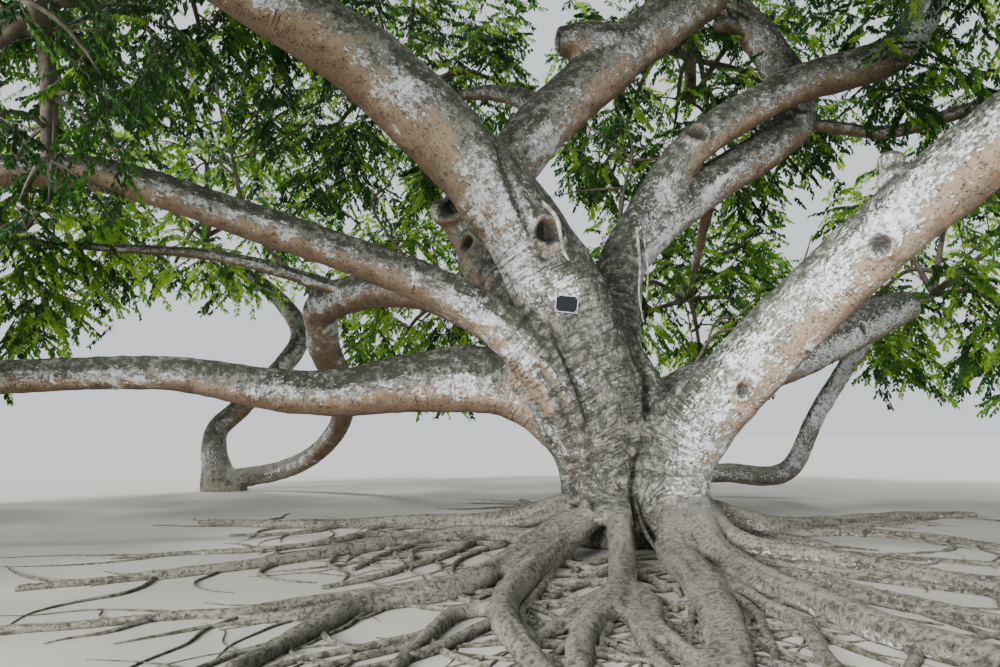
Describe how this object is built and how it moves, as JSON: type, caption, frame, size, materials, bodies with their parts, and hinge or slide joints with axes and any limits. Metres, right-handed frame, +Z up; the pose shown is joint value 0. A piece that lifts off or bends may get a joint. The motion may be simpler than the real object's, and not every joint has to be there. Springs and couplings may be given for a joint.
{
  "type": "weeping fig tree",
  "caption": "Old weeping fig tree with a short trunk of fused stems, long low boughs, roots running over the ground and a wide crown of hanging foliage.",
  "frame": {"origin": "on the ground under the trunk, on the crease between its main stem and its right-hand stem", "axes": "+Z up, +X to the right as the picture shows the tree, +Y away from that viewpoint"},
  "size_m": [32.443, 32.5133, 15.2523],
  "materials": {
    "bark": "rough grey-brown bark with pale lichen blotches, moss on upper sides",
    "root_bark": "matt grey-tan bark, worn smooth on top",
    "leaves": "small glossy pointed leaves in hanging sprays",
    "plate": "dark plate with a pale rim, bare"
  },
  "bodies": {
    "root": {"bough_back_left": "bark", "bough_back_left_drop": "bark", "bough_back_left_regrowth": "bark", "bough_back_right": "bark", "bough_back_right_return": "bark", "bough_high_left": "bark", "bough_high_right": "bark", "bough_low_left": "bark", "bough_mid_left": "bark", "bough_right": "bark", "bough_thin_right": "bark", "bough_top": "bark", "bough_zigzag_right": "bark", "foliage_hanging_left": "leaves", "foliage_shoulder_back_left": "leaves", "foliage_shoulder_back_right": "leaves", "foliage_shoulder_front": "leaves", "foliage_shoulder_left": "leaves", "foliage_shoulder_left_front": "leaves", "foliage_shoulder_right": "leaves", "foliage_shoulder_right_front": "leaves", "foliage_skirt_back_a": "leaves", "foliage_skirt_back_b": "leaves", "foliage_skirt_back_left": "leaves", "foliage_skirt_back_right": "leaves", "foliage_skirt_front": "leaves", "foliage_skirt_front_right": "leaves", "foliage_skirt_left": "leaves", "foliage_skirt_left_back": "leaves", "foliage_skirt_left_front": "leaves", "foliage_skirt_right": "leaves", "foliage_skirt_right_front": "leaves", "foliage_top_left": "leaves", "foliage_top_right": "leaves", "label_plate": "plate", "root_back": "root_bark", "root_back_left": "root_bark", "root_back_right": "root_bark", "root_centre": "root_bark", "root_front_knee": "root_bark", "root_front_right": "root_bark", "root_left": "root_bark", "root_left_low": "root_bark", "root_right": "root_bark", "root_right_outer": "root_bark", "root_right_side": "root_bark", "side_bough_back_a": "bark", "side_bough_back_b": "bark", "side_bough_back_right": "bark", "side_bough_front": "bark", "side_bough_hanging": "bark", "side_bough_left": "bark", "side_bough_right": "bark", "side_bough_top": "bark", "side_bough_upper_back": "bark", "side_bough_upper_front": "bark", "side_bough_upper_left": "bark", "side_bough_upper_right": "bark", "trunk": "bark"}
  },
  "joints": []
}
